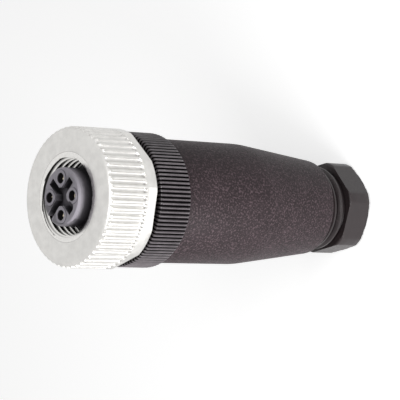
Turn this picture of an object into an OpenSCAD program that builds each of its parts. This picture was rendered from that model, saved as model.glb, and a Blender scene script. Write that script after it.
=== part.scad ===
// Straight field-wireable M12 cable socket with screw terminals and a hollow gland screw.
// Z is the plug axis. The connector stands on the head of the gland screw, at z = 0, and its
// mating face looks up. Right-hand threads: turning a piece counter-clockwise, seen from
// above, lifts it.

/* [Coupling nut] */
// Nominal diameter of the coupling thread, from which the plug's other diameters follow
thread_d = 12; // [11.8:0.1:12.4]
// Pitch of the coupling thread
thread_pitch = 1; // [0.75:0.05:1.25]
// Height by which the nut stands over the ribs of the grip ring
nut_step = 0.3; // [0:0.05:0.6]
// Length of the coupling nut
nut_l = 8.35; // [8:0.05:10]
// Width of the bevel round the nut's front, across the nut
nut_bevel_w = 0.85; // [0.6:0.05:1.2]
// Length of that bevel, along the nut
nut_bevel_l = 0.4; // [0.2:0.05:0.8]
// Number of flutes round the nut
flute_count = 57; // [40:1:60]
// Radius of one flute
flute_r = 0.38; // [0.3:0.01:0.45]
// Length of the plain band behind the flutes
nut_band_l = 1.85; // [1.2:0.05:2.4]
// Depth of the six flats on the plain band
nut_flat_depth = 0.55; // [0.3:0.05:0.7]
// Turn of the six flats about the plug axis
nut_turn = 20; // [-30:1:30]
// Width of the bevel round the mouth of the thread
mouth_bevel = 0.4; // [0.2:0.05:0.7]
// Distance that the nut slides forward on its carrier
nut_float = 1.2; // [0.6:0.1:1.6]
// Thickness of the lip that holds the snap ring in the nut
nut_lip_l = 0.55; // [0.4:0.05:0.8]

/* [Snap ring] */
// Thickness of the snap ring
ring_h = 0.8; // [0.5:0.05:1]
// Radial width of the snap ring
ring_w = 1.15; // [0.9:0.05:1.3]
// Opening of the snap ring, as an angle
ring_open = 40; // [20:5:90]

/* [Contact insert] */
// Distance that the barrel stands out of the nut
barrel_proud = 1.1; // [0:0.1:1.5]
// Edge bevel of the barrel's face
barrel_bevel = 0.25; // [0.1:0.05:0.5]
// Wall of the barrel outside the circle of contacts
barrel_rim = 1.55; // [1.45:0.05:1.8]
// Section diameter of the face seal
face_seal_d = 0.8; // [0.7:0.05:0.9]
// Radial room between the face seal and the coupling thread
face_seal_room = 0.14; // [0.1:0.01:0.3]
// Height of the seat under the face seal over the barrel
seal_seat_rise = 0.35; // [0.2:0.05:0.5]
// Length of the seat under the face seal
seal_seat_l = 1.2; // [1.1:0.1:1.6]
// Radial room between the collar and the coupling thread
collar_room = 0.26; // [0.15:0.01:0.35]
// Thickness of the collar in front of the snap ring
collar_h = 0.8; // [0.6:0.1:1.2]
// Height of the collar over the neck that carries the snap ring
collar_rise = 0.5; // [0.3:0.05:0.6]
// Height of the stem that turns in the grip ring over that neck
stem_rise = 0.75; // [0.6:0.05:0.9]
// Thickness of the flange that the grip ring clamps
flange_h = 1; // [0.8:0.1:1.3]
// Width of the flange's seat on the housing
flange_rim = 1; // [0.8:0.1:1.3]
// Length of the insert inside the housing
insert_rear_l = 4.7; // [4.4:0.1:6]
// Width of the key that stops the insert from turning
key_w = 1.8; // [1.2:0.1:2.4]
// Height of that key over the insert
key_h = 0.6; // [0.4:0.05:0.7]
// Distance of that key from the insert's rear end
key_setback = 1.5; // [1.3:0.1:2]

/* [Mating face] */
// Turn of the contact pattern about the plug axis
insert_turn = 3; // [-45:1:45]
// Diameter of a contact hole in the face
contact_hole_d = 1.5; // [1.3:0.05:1.55]
// Depth of the cross-shaped recess in the face
recess_depth = 1.3; // [0.6:0.1:2]
// Width of an arm of the recess
recess_arm_w = 1.15; // [0.9:0.05:1.3]
// Wall between an arm of the recess and the outside of the barrel
recess_wall = 0.95; // [0.8:0.05:1.3]
// Diameter of the round middle of the recess
recess_core_d = 2.7; // [2.2:0.1:3]
// Diameter of the round end of the wide arm
wide_arm_d = 1.6; // [1.3:0.1:1.8]
// Width of the coding keyway
keyway_w = 1.1; // [0.9:0.05:1.3]
// Height of the raised land round a contact hole
land_h = 0.12; // [0.05:0.01:0.3]
// Diameter of the raised land round a contact hole
land_d = 2.3; // [2.1:0.05:2.4]
// Distance from a contact hole to the point of its land
land_tip = 1.5; // [1.3:0.05:1.6]

/* [Contacts] */
// Diameter of the socket tube
tube_d = 1.6; // [1.55:0.05:1.8]
// Bore of the socket tube, for a 1 mm pin
tube_bore_d = 1.04; // [1.02:0.01:1.1]
// Depth of that bore
tube_bore_l = 6; // [5:0.1:7]
// Distance of the tube's mouth behind the face
tube_setback = 0.9; // [0.6:0.1:1.4]
// Diameter of the tube's nose, which stands in the contact hole
nose_d = 1.4; // [1.3:0.05:1.45]
// Length of that nose
nose_l = 0.8; // [0.5:0.1:1.2]
// Width of the slot along the tube
tube_slot_w = 0.2; // [0.1:0.05:0.3]
// Width of the clamping body at the contact's rear
clamp_w = 3.2; // [3:0.1:3.3]
// Radial depth of the clamping body
clamp_t = 2.9; // [2.7:0.1:3]
// Depth to which the clamping body reaches inside the axis of its contact
clamp_inset = 0.3; // [0.2:0.05:0.5]
// Bore of the clamping body, for the bared wire
wire_bore_d = 1.9; // [1.6:0.1:2]

/* [Terminal block] */
// Length of the terminal block
block_l = 8.1; // [7.5:0.1:9]
// Thickness of the floor that holds the contacts
block_floor = 1.9; // [1.2:0.1:2.4]
// Cover of the block over the heads of the terminal screws
block_cover = 0.25; // [0.1:0.05:0.4]
// Shank diameter of a terminal screw
screw_d = 1.9; // [1.6:0.1:2]
// Head diameter of a terminal screw
screw_head_d = 2.8; // [2.5:0.1:2.9]
// Head height of a terminal screw
screw_head_h = 0.6; // [0.5:0.05:0.7]

/* [Grip ring] */
// Wall of the grip ring over the spigot's thread
grip_wall = 1.65; // [1.3:0.05:2]
// Length of the ribbed band
grip_l = 5.6; // [5.2:0.1:7]
// Number of ribs
rib_count = 100; // [72:2:110]
// Radius of a groove between two ribs
rib_groove_r = 0.22; // [0.15:0.01:0.25]
// Height of the ribs over the smooth hub in front of them
hub_step = 1.9; // [1.4:0.05:2.2]
// Length of that hub
hub_l = 0.85; // [0.5:0.05:1.2]

/* [Housing] */
// Height of the ribs over the housing
housing_step = 0.73; // [0.4:0.01:1]
// Drop of the housing's radius up to its knee
knee_drop = 0.06; // [0:0.01:0.3]
// Wall of the housing's tail round the gland thread
tail_wall = 0.8; // [0.7:0.05:1.2]
// Length of the nearly straight part of the housing
straight_l = 15.55; // [14:0.05:22]
// Length of the taper
taper_l = 14.35; // [13:0.05:20]
// Radius that softens the knee between the two
knee_r = 8; // [2:1:16]
// Length of the threaded spigot under the grip ring
spigot_l = 3.5; // [3.2:0.1:4.5]
// Wall of the spigot, measured over its thread
spigot_wall = 1.7; // [1.5:0.05:2]
// Pitch of the spigot's thread
spigot_pitch = 1; // [0.75:0.05:1.25]
// Section diameter of the seal between the insert and the housing
housing_seal_d = 0.84; // [0.7:0.02:0.9]
// Distance of that seal's centre from the insert's rear end
housing_seal_setback = 0.7; // [0.6:0.05:0.8]
// Depth of the gland's pocket behind the wiring space
pocket_l = 13; // [12.5:0.1:14]

/* [Gland] */
// Outside diameter of the gland screw's thread, from which the gland's diameters follow
gland_thread_d = 12.5; // [12.2:0.1:12.8]
// Pitch of the gland screw's thread
gland_pitch = 1.27; // [1:0.01:1.5]
// Height of the head's flats over that thread
head_step = 0.15; // [0.1:0.05:0.5]
// Height of the head's turned corners over its flats
head_corner = 0.6; // [0.3:0.05:0.9]
// Height of the head
head_h = 4.4; // [4:0.1:6]
// Turn of the head about the plug axis
head_turn = 12.8; // [-30:0.1:30]
// Length of open thread between the head and the housing
gland_gap = 3.5; // [3.4:0.1:4.5]
// Length of the gland screw's thread inside the housing
gland_grip = 3.5; // [3:0.1:4]
// Bore of the gland screw, for the cable
cable_bore_d = 7.2; // [6.4:0.1:7.4]
// Width of the funnel at the screw's outer end
funnel_w = 0.9; // [0.5:0.1:1.2]
// Radial wall by which the relaxed cable seal reaches inside the screw's bore
seal_reach = 0.6; // [0.4:0.1:0.9]
// Radial step from the gland's thread in to its seal and washers
seal_step = 0.8; // [0.7:0.05:1]
// Thickness of each washer
washer_h = 0.6; // [0.4:0.1:0.8]
// Radial room between a washer and the cable
washer_room = 0.4; // [0.2:0.1:0.8]

/* [Fits] */
// Radial clearance of pieces that turn or slide on each other
run_gap = 0.05; // [0.03:0.01:0.1]
// Clearance between flat faces of neighbouring pieces
face_gap = 0.05; // [0.02:0.01:0.1]
// Radial clearance of the insert in the housing
loose_gap = 0.2; // [0.1:0.05:0.3]
// Gap between a rubber seal and the plain face that it seals on
seal_gap = 0.02; // [0.01:0.01:0.05]

/* [Hidden] */
$fn = 96;
eps = 0.01;
past = 1;

// Levels along the plug axis, from the foot up
tail_z = head_h + gland_gap;
knee_z = tail_z + taper_l;
shoulder_z = knee_z + straight_l;
spigot_z = shoulder_z + spigot_l;
grip_z = shoulder_z + face_gap;
rib_top_z = grip_z + grip_l;
hub_z = rib_top_z + hub_l;
nut_z = hub_z + face_gap;
nut_top_z = nut_z + nut_l;
face_z = nut_top_z + barrel_proud;
band_z = nut_z + nut_band_l;

// Insert levels: flange, neck for the snap ring, collar and seat of the face seal
insert_z = spigot_z - insert_rear_l;
flange_z = spigot_z + flange_h;
neck_z = nut_z + nut_lip_l;
ring_z = neck_z + face_gap;
neck_top_z = ring_z + ring_h + face_gap + nut_float;
collar_z = neck_top_z + collar_h;
seat_top_z = collar_z + seal_seat_l;
land_z = face_z - land_h;
tube_top_z = face_z - tube_setback;
nose_z = tube_top_z - nose_l;

// Terminal block and contacts
block_z = insert_z - block_l;
clamp_z = block_z + block_floor;
clamp_top_z = insert_z - face_gap;
screw_z = (clamp_z + clamp_top_z) / 2;

// Gland levels: the screw can go up by screw_travel before its head meets the housing
gland_turns = 2.5;
screw_travel = gland_turns * gland_pitch;
shank_z = tail_z + gland_grip;
seat_z = tail_z + pocket_l;
web_h = 0.6;
funnel_h = 2;
chamber_z = seat_z + web_h + funnel_h;
thrust_z = shank_z + face_gap;
seal_z = thrust_z + washer_h + face_gap;
seal_top_z = seat_z - washer_h - 2 * face_gap;
pocket_thread_z = shank_z + screw_travel + 0.4;

// Plug: from the coupling thread in to the seal, the barrel and the contacts
thread_minor_r = thread_d / 2 - 0.54 * thread_pitch;
seal_seat_d = 2 * (thread_minor_r - face_seal_room - face_seal_d - seal_gap);
barrel_d = seal_seat_d - 2 * seal_seat_rise;
contact_circle_d = barrel_d - 2 * barrel_rim;
recess_arm_r = barrel_d / 2 - recess_wall;
collar_d = 2 * (thread_minor_r - collar_room);
neck_d = collar_d - 2 * collar_rise;
stem_d = neck_d + 2 * stem_rise;
snap_in_r = neck_d / 2 + run_gap;
snap_out_r = snap_in_r + ring_w;

// Body: from the contacts out to the block, the housing, the grip ring and the nut
clamp_out_r = contact_circle_d / 2 - clamp_inset + clamp_t;
clamp_axis_r = clamp_out_r - clamp_t / 2;
screw_head_r = clamp_out_r + face_gap;
core_d = 2 * (screw_head_r + screw_head_h + block_cover);
core_bore_r = core_d / 2 + loose_gap;
flange_d = 2 * (core_bore_r + flange_rim);
spigot_d = 2 * (core_bore_r + spigot_wall);
spigot_root_r = spigot_d / 2 - 0.55 * spigot_pitch;
grip_in_r = spigot_d / 2 + run_gap;
grip_d = 2 * (grip_in_r + grip_wall);
hub_d = grip_d - 2 * hub_step;
housing_d = grip_d - 2 * housing_step;
knee_d = housing_d - 2 * knee_drop;
nut_d = grip_d + 2 * nut_step;
nut_flats = nut_d - 2 * nut_flat_depth;
nut_face_d = nut_d - 2 * nut_bevel_w;
nut_mouth_d = thread_d + 2 * mouth_bevel;
nut_lip_r = stem_d / 2 + 2 * run_gap;

// Gland: from its thread out to the head and the tail, and in to the seal
gland_root_r = gland_thread_d / 2 - 0.47 * gland_pitch;
head_flats = gland_thread_d + 2 * head_step;
head_d = head_flats + 2 * head_corner;
tail_bore_r = gland_thread_d / 2 + run_gap;
tail_d = 2 * (tail_bore_r + tail_wall);
seal_d = gland_thread_d - 2 * seal_step;
seal_bore_d = cable_bore_d - 2 * seal_reach;
pocket_r = seal_d / 2 + 2 * run_gap;

// A ring of rectangular section between two radii and two levels
module tube(r_in, r_out, z0, z1) {
    translate([0, 0, z0])
        rotate_extrude()
            translate([r_in, 0])
                square([r_out - r_in, z1 - z0]);
}

// A solid disc between two levels
module disc(r, z0, z1) {
    translate([0, 0, z0])
        cylinder(r = r, h = z1 - z0);
}

// A straight cone between two levels
module cone(r0, r1, z0, z1) {
    translate([0, 0, z0])
        cylinder(r1 = r0, r2 = r1, h = z1 - z0);
}

// An O-ring: section radius r, centre circle radius ring_r, centre level z
module o_ring(r, ring_r, z) {
    translate([0, 0, z])
        rotate_extrude()
            translate([ring_r, 0])
                circle(r = r, $fn = 48);
}

// Outline of thread ridges, as radius and level pairs, from z0 up to z1
function ridges(r_root, r_crest, pitch, z0, z1) = [
    for (i = [0:floor((z1 - z0) / pitch) - 1])
        for (p = [[r_root, 0.06], [r_crest, 0.44], [r_crest, 0.56], [r_root, 0.94]])
            [p[0], z0 + (i + p[1]) * pitch]
];

// Coupling nut ----------------------------------------------------------------------------

// One flute: a round groove along the nut with a milled, round end
module flute() {
    translate([nut_d / 2, 0, band_z + flute_r]) {
        cylinder(r = flute_r, h = nut_l, $fn = 24);
        translate([-flute_r, 0, 0])
            rotate([0, 90, 0])
                cylinder(r = flute_r, h = 2 * flute_r, $fn = 24);
    }
}

// Section of the nut: bevelled front, threaded bore, groove of the snap ring and rear lip
module nut_section() {
    r_out = nut_d / 2;
    groove_r = snap_out_r + run_gap;
    groove_top_z = ring_z + ring_h + face_gap;
    thread_z = groove_top_z + 0.5;
    mouth_l = 0.45;
    rim = 0.15;
    polygon(concat(
        [[nut_lip_r, nut_z], [r_out - rim, nut_z], [r_out, nut_z + rim]],
        [[r_out, nut_top_z - nut_bevel_l], [nut_face_d / 2, nut_top_z]],
        [[nut_mouth_d / 2, nut_top_z], [thread_d / 2, nut_top_z - mouth_l]],
        reverse(ridges(thread_d / 2, thread_minor_r, thread_pitch, thread_z, nut_top_z - mouth_l)),
        [[thread_d / 2, thread_z], [thread_minor_r, thread_z - 0.1]],
        [[thread_minor_r, groove_top_z], [groove_r, groove_top_z]],
        [[groove_r, neck_z], [nut_lip_r, neck_z]]
    ));
}

function reverse(list) = [for (i = [len(list) - 1:-1:0]) list[i]];

module coupling_nut() {
    flat_edge = 0.15;
    color([0.84, 0.84, 0.82])
        difference() {
            rotate_extrude() nut_section();
            for (i = [0:flute_count - 1])
                rotate(i * 360 / flute_count) flute();
            difference() {
                disc(nut_d, nut_z - past, band_z - flat_edge);
                rotate(nut_turn)
                    disc(nut_flats / 2 / cos(30), nut_z - 2 * past, band_z + past, $fn = 6);
            }
        }
}

module snap_ring() {
    color([0.72, 0.72, 0.7])
        difference() {
            tube(snap_in_r, snap_out_r, ring_z, ring_z + ring_h);
            rotate(-ring_open / 2)
                translate([0, 0, ring_z - past])
                    rotate_extrude(angle = ring_open)
                        square([nut_d, ring_h + 2 * past]);
        }
}

// Carrier: contact insert, terminal block, contacts and their screws ------------------------

function contact_angle(i) = insert_turn + 90 * (i - 1);

// Places its children at each of the four contacts
module at_contacts() {
    for (i = [1:4]) rotate(contact_angle(i)) children();
}

module face_seal() {
    r = face_seal_d / 2;
    color([0.1, 0.1, 0.1])
        o_ring(r, seal_seat_d / 2 + seal_gap + r, collar_z + seal_gap + r);
}

// Outline of the raised land round a contact hole, pointed towards the plug axis
module land_outline() {
    r = land_d / 2;
    reach = contact_circle_d / 2;
    tip = reach - land_tip;
    lean = acos(r / land_tip);
    translate([reach, 0]) circle(r = r);
    polygon([
        [tip, 0],
        [reach - r * cos(lean), -r * sin(lean)],
        [reach - r * cos(lean), r * sin(lean)]
    ]);
}

// Cross-shaped recess of the face, with one fat arm and one arm that runs into the keyway
module recess_outline() {
    circle(d = recess_core_d);
    for (k = [0:3])
        rotate(insert_turn + 45 + 90 * k)
            translate([0, -recess_arm_w / 2]) square([recess_arm_r, recess_arm_w]);
    rotate(insert_turn - 45)
        translate([recess_arm_r - 0.75, 0.25]) circle(d = wide_arm_d);
}

// The coding keyway runs down the whole barrel
module keyway() {
    rotate(insert_turn + 225)
        translate([recess_arm_r - 0.2, -keyway_w / 2, seat_top_z])
            cube([barrel_d, keyway_w, barrel_d]);
}

module insert_key(side_gap) {
    w = key_w + 2 * side_gap;
    rotate(insert_turn + 225)
        translate([0, -w / 2, insert_z + key_setback - side_gap])
            cube([core_d / 2 + key_h + side_gap, w, insert_rear_l - key_setback + 2 * side_gap]);
}

// Groove of the insert for the seal against the housing
module seal_groove() {
    depth = housing_seal_d - loose_gap + run_gap + seal_gap;
    half_w = housing_seal_d / 2 + 0.08;
    z = insert_z + housing_seal_setback;
    tube(core_d / 2 - depth, core_d, z - half_w, z + half_w);
}

module contact_insert() {
    color([0.2, 0.19, 0.19])
        difference() {
            union() {
                disc(core_d / 2, insert_z, spigot_z + eps);
                insert_key(0);
                disc(flange_d / 2, spigot_z, flange_z);
                disc(stem_d / 2, spigot_z, neck_z);
                disc(neck_d / 2, spigot_z, collar_z);
                disc(collar_d / 2, neck_top_z, collar_z);
                disc(seal_seat_d / 2, spigot_z, seat_top_z);
                disc(barrel_d / 2, spigot_z, land_z - barrel_bevel);
                cone(barrel_d / 2, barrel_d / 2 - barrel_bevel, land_z - barrel_bevel, land_z);
                translate([0, 0, land_z - eps])
                    linear_extrude(land_h + eps)
                        at_contacts() land_outline();
            }
            at_contacts()
                translate([contact_circle_d / 2, 0, 0]) {
                    disc(tube_d / 2 + run_gap, insert_z - past, nose_z + face_gap);
                    disc(contact_hole_d / 2, insert_z - past, face_z + past);
                    cone(contact_hole_d / 2, contact_hole_d / 2 + 0.2, face_z - 0.2, face_z + eps);
                }
            translate([0, 0, land_z - recess_depth])
                linear_extrude(recess_depth + past) recess_outline();
            keyway();
            seal_groove();
        }
}

// Radial clamping body of a contact, seen along the plug axis
module clamp_outline(gap) {
    translate([clamp_axis_r - clamp_t / 2 - gap, -clamp_w / 2 - gap])
        square([clamp_t + 2 * gap, clamp_w + 2 * gap]);
}

module socket_contact(i) {
    slot_l = tube_bore_l - 1;
    color([0.83, 0.7, 0.4])
        rotate(contact_angle(i))
            difference() {
                union() {
                    translate([contact_circle_d / 2, 0, 0]) {
                        disc(tube_d / 2, clamp_top_z - past, nose_z);
                        disc(nose_d / 2, clamp_top_z - past, tube_top_z);
                    }
                    translate([0, 0, clamp_z + face_gap])
                        linear_extrude(clamp_top_z - clamp_z - face_gap) clamp_outline(0);
                }
                translate([contact_circle_d / 2, 0, 0]) {
                    disc(tube_bore_d / 2, tube_top_z - tube_bore_l, tube_top_z + past);
                    cone(tube_bore_d / 2, nose_d / 2 - 0.06, tube_top_z - 0.15, tube_top_z + eps);
                    translate([0, -tube_slot_w / 2, tube_top_z - slot_l])
                        cube([tube_d, tube_slot_w, slot_l + past]);
                }
                translate([clamp_axis_r, 0, 0])
                    disc(wire_bore_d / 2, clamp_z - past, clamp_top_z - 1);
                translate([clamp_axis_r, 0, screw_z])
                    rotate([0, 90, 0])
                        cylinder(d = screw_d + 2 * run_gap, h = clamp_t);
            }
}

module terminal_block() {
    color([0.16, 0.15, 0.15])
        difference() {
            union() {
                disc(core_d / 2, block_z + 0.4, insert_z);
                cone(core_d / 2 - 0.4, core_d / 2, block_z, block_z + 0.4);
            }
            at_contacts() {
                translate([0, 0, clamp_z])
                    linear_extrude(block_l) clamp_outline(face_gap);
                translate([contact_circle_d / 2, 0, 0])
                    disc(tube_d / 2 + run_gap, clamp_top_z - past - face_gap, insert_z + past);
                translate([clamp_axis_r, 0, 0]) {
                    disc(wire_bore_d / 2 + 0.15, block_z - past, clamp_z + past);
                    cone(wire_bore_d / 2 + 0.55, wire_bore_d / 2 + 0.15, block_z - eps, block_z + 0.4);
                }
                translate([clamp_axis_r, 0, screw_z])
                    rotate([0, 90, 0])
                        cylinder(d = screw_head_d + 4 * run_gap, h = core_d);
            }
        }
}

// Slotted screw that presses the wire against its clamping body
module terminal_screw() {
    tip_r = clamp_axis_r + 0.3;
    translate([0, 0, screw_z])
        rotate([0, 90, 0])
            difference() {
                union() {
                    translate([0, 0, tip_r])
                        cylinder(d = screw_d, h = screw_head_r - tip_r + eps);
                    translate([0, 0, screw_head_r])
                        cylinder(d = screw_head_d, h = screw_head_h);
                }
                translate([-screw_head_d, -0.2, screw_head_r + screw_head_h - 0.35])
                    cube([2 * screw_head_d, 0.4, past]);
            }
}

module terminal_screws() {
    color([0.75, 0.75, 0.73])
        at_contacts() terminal_screw();
}

// Grip ring --------------------------------------------------------------------------------

// Round grooves between the ribs, cut right along the band
module rib_grooves() {
    for (i = [0:rib_count - 1])
        rotate((i + 0.5) * 360 / rib_count)
            translate([grip_d / 2, 0, grip_z - past])
                cylinder(r = rib_groove_r, h = grip_l + 2 * past, $fn = 24);
}

// Envelope of the ribbed band: small bevel in front, rounded shoulder behind
module grip_envelope() {
    r = grip_d / 2;
    round_r = 0.6;
    bevel = 0.25;
    rotate_extrude()
        polygon(concat(
            [[0, grip_z]],
            [for (a = [-90:30:0]) [r - round_r + round_r * cos(a), grip_z + round_r + round_r * sin(a)]],
            [[r, rib_top_z - bevel], [r - bevel, rib_top_z], [0, rib_top_z]]
        ));
}

module grip_ring() {
    lip_z = flange_z + face_gap;
    color([0.1, 0.1, 0.1])
        difference() {
            union() {
                difference() {
                    grip_envelope();
                    rib_grooves();
                }
                disc(hub_d / 2, rib_top_z - past, hub_z);
            }
            disc(grip_in_r, grip_z - past, lip_z);
            disc(stem_d / 2 + run_gap, grip_z - past, hub_z + past);
        }
}

// Housing ----------------------------------------------------------------------------------

module housing_seal() {
    r = housing_seal_d / 2;
    color([0.1, 0.1, 0.1])
        o_ring(r, core_bore_r - r - run_gap, insert_z + housing_seal_setback);
}

// Outside of the housing from the tail to the shoulder, with the knee rounded by an arc
// that touches both straight flanks
module housing_outline() {
    lean_taper = atan2((knee_d - tail_d) / 2, taper_l);
    lean_straight = atan2((housing_d - knee_d) / 2, straight_l);
    turn = lean_taper - lean_straight;
    run = knee_r * tan(turn / 2);
    cx = knee_d / 2 - run * sin(lean_taper) - knee_r * cos(lean_taper);
    cz = knee_z - run * cos(lean_taper) + knee_r * sin(lean_taper);
    bevel = 0.35;
    polygon(concat(
        [[0, tail_z], [tail_d / 2 - bevel, tail_z]],
        [[tail_d / 2, tail_z + bevel]],
        [for (k = [0:6]) let(a = -lean_taper + turn * k / 6)
            [cx + knee_r * cos(a), cz + knee_r * sin(a)]],
        [[housing_d / 2, shoulder_z - 0.1], [housing_d / 2 - 0.1, shoulder_z], [0, shoulder_z]]
    ));
}

module housing() {
    color([0.13, 0.12, 0.12])
        difference() {
            union() {
                rotate_extrude() housing_outline();
                rotate_extrude()
                    polygon(concat(
                        [[0, shoulder_z - past], [spigot_root_r, shoulder_z - past]],
                        ridges(spigot_root_r, spigot_d / 2, spigot_pitch, shoulder_z + 0.3, spigot_z),
                        [[spigot_root_r, spigot_z], [0, spigot_z]]
                    ));
            }
            disc(core_bore_r, chamber_z, spigot_z + past);
            cone(cable_bore_d / 2, core_bore_r, seat_z + web_h, chamber_z + eps);
            disc(cable_bore_d / 2, tail_z, seat_z + past);
            disc(pocket_r, tail_z - past, seat_z);
            disc(tail_bore_r, tail_z - past, pocket_thread_z);
            insert_key(loose_gap / 2);
            translate([0, 0, face_gap]) insert_key(loose_gap / 2);
        }
}

// Gland ------------------------------------------------------------------------------------

module washer(z) {
    color([0.78, 0.66, 0.38])
        tube(cable_bore_d / 2 + washer_room, seal_d / 2, z, z + washer_h);
}

module seat_washer() {
    washer(seat_z - face_gap - washer_h);
}

module thrust_washer() {
    washer(thrust_z);
}

module cable_seal() {
    bevel = 0.5;
    color([0.12, 0.12, 0.12])
        rotate_extrude()
            polygon([
                [seal_bore_d / 2 + bevel, seal_z], [seal_d / 2 - bevel, seal_z],
                [seal_d / 2, seal_z + bevel], [seal_d / 2, seal_top_z - bevel],
                [seal_d / 2 - bevel, seal_top_z], [seal_bore_d / 2 + bevel, seal_top_z],
                [seal_bore_d / 2, seal_top_z - bevel], [seal_bore_d / 2, seal_z + bevel]
            ]);
}

// Envelope of the hexagonal head: corners turned round, rear edge bevelled
module head_envelope() {
    bevel_r = 0.75;
    bevel_h = 0.45;
    rotate_extrude()
        polygon([
            [0, 0], [head_d / 2 - bevel_r, 0], [head_d / 2, bevel_h],
            [head_d / 2, head_h - 0.15], [head_d / 2 - 0.3, head_h], [0, head_h]
        ]);
}

module gland_screw() {
    color([0.11, 0.1, 0.1])
        difference() {
            union() {
                intersection() {
                    head_envelope();
                    rotate(head_turn)
                        disc(head_flats / 2 / cos(30), 0, head_h, $fn = 6);
                }
                rotate_extrude()
                    polygon(concat(
                        [[0, head_h - past], [gland_root_r, head_h - past]],
                        ridges(gland_root_r, gland_thread_d / 2, gland_pitch, head_h + 0.6, shank_z),
                        [[gland_root_r, shank_z], [0, shank_z]]
                    ));
            }
            disc(cable_bore_d / 2, -past, shank_z + past);
            cone(cable_bore_d / 2 + funnel_w, cable_bore_d / 2, -eps, funnel_w);
        }
}

// Part -------------------------------------------------------------------------------------

coupling_nut();
snap_ring();
face_seal();
contact_insert();
terminal_block();
socket_contact(1);  // socket_contact_1
socket_contact(2);  // socket_contact_2
socket_contact(3);  // socket_contact_3
socket_contact(4);  // socket_contact_4
terminal_screws();
grip_ring();
housing_seal();
housing();
seat_washer();
cable_seal();
thrust_washer();
gland_screw();
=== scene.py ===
import math

import bmesh
import bpy
import numpy as np
from bpy.props import FloatProperty, FloatVectorProperty, IntProperty, PointerProperty
from bpy.types import Operator, Panel, PropertyGroup
from mathutils import Matrix, Vector


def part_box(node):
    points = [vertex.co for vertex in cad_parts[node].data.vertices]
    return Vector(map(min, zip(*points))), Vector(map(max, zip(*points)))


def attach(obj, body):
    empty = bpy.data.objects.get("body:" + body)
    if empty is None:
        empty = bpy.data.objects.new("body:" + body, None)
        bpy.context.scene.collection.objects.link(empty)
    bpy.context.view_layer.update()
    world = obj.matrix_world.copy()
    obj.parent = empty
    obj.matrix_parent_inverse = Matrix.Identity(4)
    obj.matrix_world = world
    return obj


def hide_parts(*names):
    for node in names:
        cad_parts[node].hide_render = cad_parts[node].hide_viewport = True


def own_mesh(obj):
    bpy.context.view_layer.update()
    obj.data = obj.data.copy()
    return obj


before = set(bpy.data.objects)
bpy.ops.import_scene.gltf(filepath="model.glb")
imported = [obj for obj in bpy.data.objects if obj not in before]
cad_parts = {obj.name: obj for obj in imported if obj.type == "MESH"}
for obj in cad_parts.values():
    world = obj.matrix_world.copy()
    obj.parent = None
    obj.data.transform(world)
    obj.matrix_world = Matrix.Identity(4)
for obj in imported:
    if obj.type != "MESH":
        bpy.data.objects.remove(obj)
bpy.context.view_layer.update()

bl_info = {
    "name": "M12 cable connector",
    "version": (1, 0, 0),
    "blender": (4, 5, 0),
    "location": "3D View > Sidebar > Connector",
    "description": "Dresses the packed connector: plated nut, ribbed ring, grained housing, gland and stage",
    "category": "Object",
}

MM = 0.001
TURN = 2 * math.pi


def node_levels(node):
    """Lowest and highest level of a CAD node, in millimetres."""
    low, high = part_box(node)
    return low.z / MM, high.z / MM


def node_radius(node):
    """Largest radius of a CAD node about the plug axis, in millimetres."""
    low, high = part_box(node)
    return max(high.x, high.y, -low.x, -low.y) / MM


NUT_Z0, NUT_Z1 = node_levels("coupling_nut")
GRIP_Z0, GRIP_Z1 = node_levels("grip_ring")
HOUSING_Z0, HOUSING_Z1 = node_levels("housing")
GLAND_Z0, GLAND_Z1 = node_levels("gland_screw")
INSERT_Z0, INSERT_Z1 = node_levels("contact_insert")


# Settings ---------------------------------------------------------------------------------


def size(name, description, default, **more):
    """A length in millimetres as an editable setting."""
    return FloatProperty(name=name, description=description, default=default, min=0.0, precision=3, **more)


def tint(name, description, default):
    """A colour as an editable setting."""
    return FloatVectorProperty(
        name=name, description=description, default=default, subtype="COLOR", size=3, min=0.0, max=1.0
    )


class NutSettings(PropertyGroup):
    """Sizes and colour of the coupling nut"""

    radius: size("Outer radius", "Radius over the ridges, mm", node_radius("coupling_nut"))
    flutes: IntProperty(name="Flutes", description="Number of flutes round the nut", default=57, min=12)
    flute_radius: size("Flute radius", "Radius of one flute, mm", 0.38)
    band: size("Band", "Length of the plain band behind the flutes, mm", 1.85)
    flats: size("Across flats", "Distance across the six flats of the band, mm", 18.9)
    flats_turn: FloatProperty(name="Flats turn", description="Turn of the flats, degrees", default=50.0)
    face_radius: size("Face radius", "Outer radius of the flat front ring, mm", 9.2)
    edge: size("Edge", "Length of the rounded edge round the front ring, mm", 0.72)
    mouth_radius: size("Mouth radius", "Radius of the bevelled mouth, mm", 6.4)
    thread_radius: size("Thread radius", "Radius of the thread at its roots, mm", 6.06)
    crest_radius: size("Crest radius", "Radius of the thread at its crests, mm", 5.46)
    lip_radius: size("Rear lip", "Bore radius of the lip behind the snap ring, mm", 5.55)
    pitch: size("Pitch", "Pitch of the coupling thread, mm", 1.0)
    colour: tint("Plating", "Colour of the plated metal", (0.665, 0.655, 0.635))


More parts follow.
